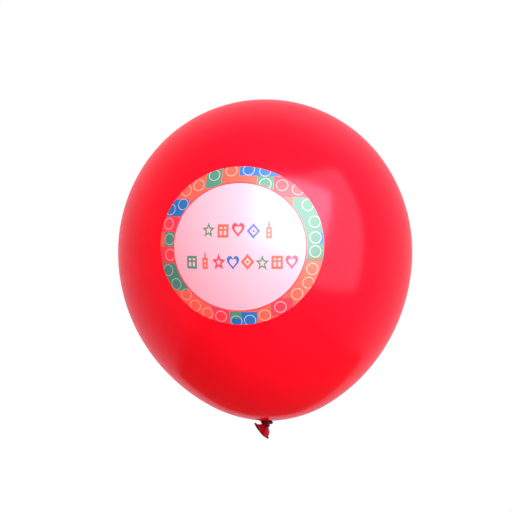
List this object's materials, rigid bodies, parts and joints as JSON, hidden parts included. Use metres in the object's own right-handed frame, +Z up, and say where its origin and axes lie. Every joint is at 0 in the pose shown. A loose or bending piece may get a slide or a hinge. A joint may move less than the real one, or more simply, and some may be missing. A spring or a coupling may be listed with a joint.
{
  "type": "latex balloon",
  "caption": "Tied, air-filled party balloon of thin red latex with a round printed badge, a knotted neck and a short flared tail.",
  "frame": {"origin": "middle of the short neck between the body's foot and the knot, where a ribbon is tied", "axes": "+Z up the balloon's axis from the knot to the crown; the printed badge faces -Y; +X to the right as the badge is read"},
  "size_m": [0.3, 0.3002, 0.3484],
  "materials": {
    "latex_red": "glossy, slightly see-through",
    "latex_thick": "satin, dark where the latex is gathered thick",
    "latex_tail": "glossy, see-through",
    "ink_white": "semi-gloss ink",
    "ink_maroon": "semi-gloss ink",
    "ink_blue": "semi-gloss ink",
    "ink_green": "semi-gloss ink",
    "ink_red": "semi-gloss ink",
    "ink_sand": "semi-gloss ink",
    "ink_orange": "semi-gloss ink",
    "ink_line": "semi-gloss ink",
    "ink_magenta": "semi-gloss ink"
  },
  "bodies": {
    "body": {"envelope": "latex_red", "ink_disc": "ink_white", "ink_keyline": "ink_maroon", "ink_ring_blue": "ink_blue", "ink_ring_green": "ink_green", "ink_ring_red": "ink_red", "ink_ring_sand": "ink_sand", "ink_ring_orange": "ink_orange", "ink_ring_circles": "ink_line", "ink_motifs_green": "ink_green", "ink_motifs_orange": "ink_orange", "ink_motifs_red": "ink_red", "ink_motifs_blue": "ink_blue", "ink_motifs_magenta": "ink_magenta"},
    "neck": {"neck": "latex_thick"},
    "knot": {"knot_loop": "latex_thick", "knot_core": "latex_thick"},
    "tail": {"tail_sleeve": "latex_tail", "lip_bead": "latex_thick"}
  },
  "joints": [
    {"name": "neck_nod", "type": "hinge", "parent": "body", "child": "neck", "pos_m": [0, 0, 0], "axis": [1, 0, 0], "range_deg": [-25, 25], "stiffness_Nm_per_rad": 0.005},
    {"name": "neck_sway", "type": "hinge", "parent": "neck", "child": "knot", "pos_m": [0, 0, 0], "axis": [0, 1, 0], "range_deg": [-15, 15], "stiffness_Nm_per_rad": 0.005},
    {"name": "tail_flex", "type": "hinge", "parent": "knot", "child": "tail", "pos_m": [0, 0, -0.0046], "axis": [1, 0, 0], "range_deg": [-40, 40], "stiffness_Nm_per_rad": 0.0005}
  ]
}
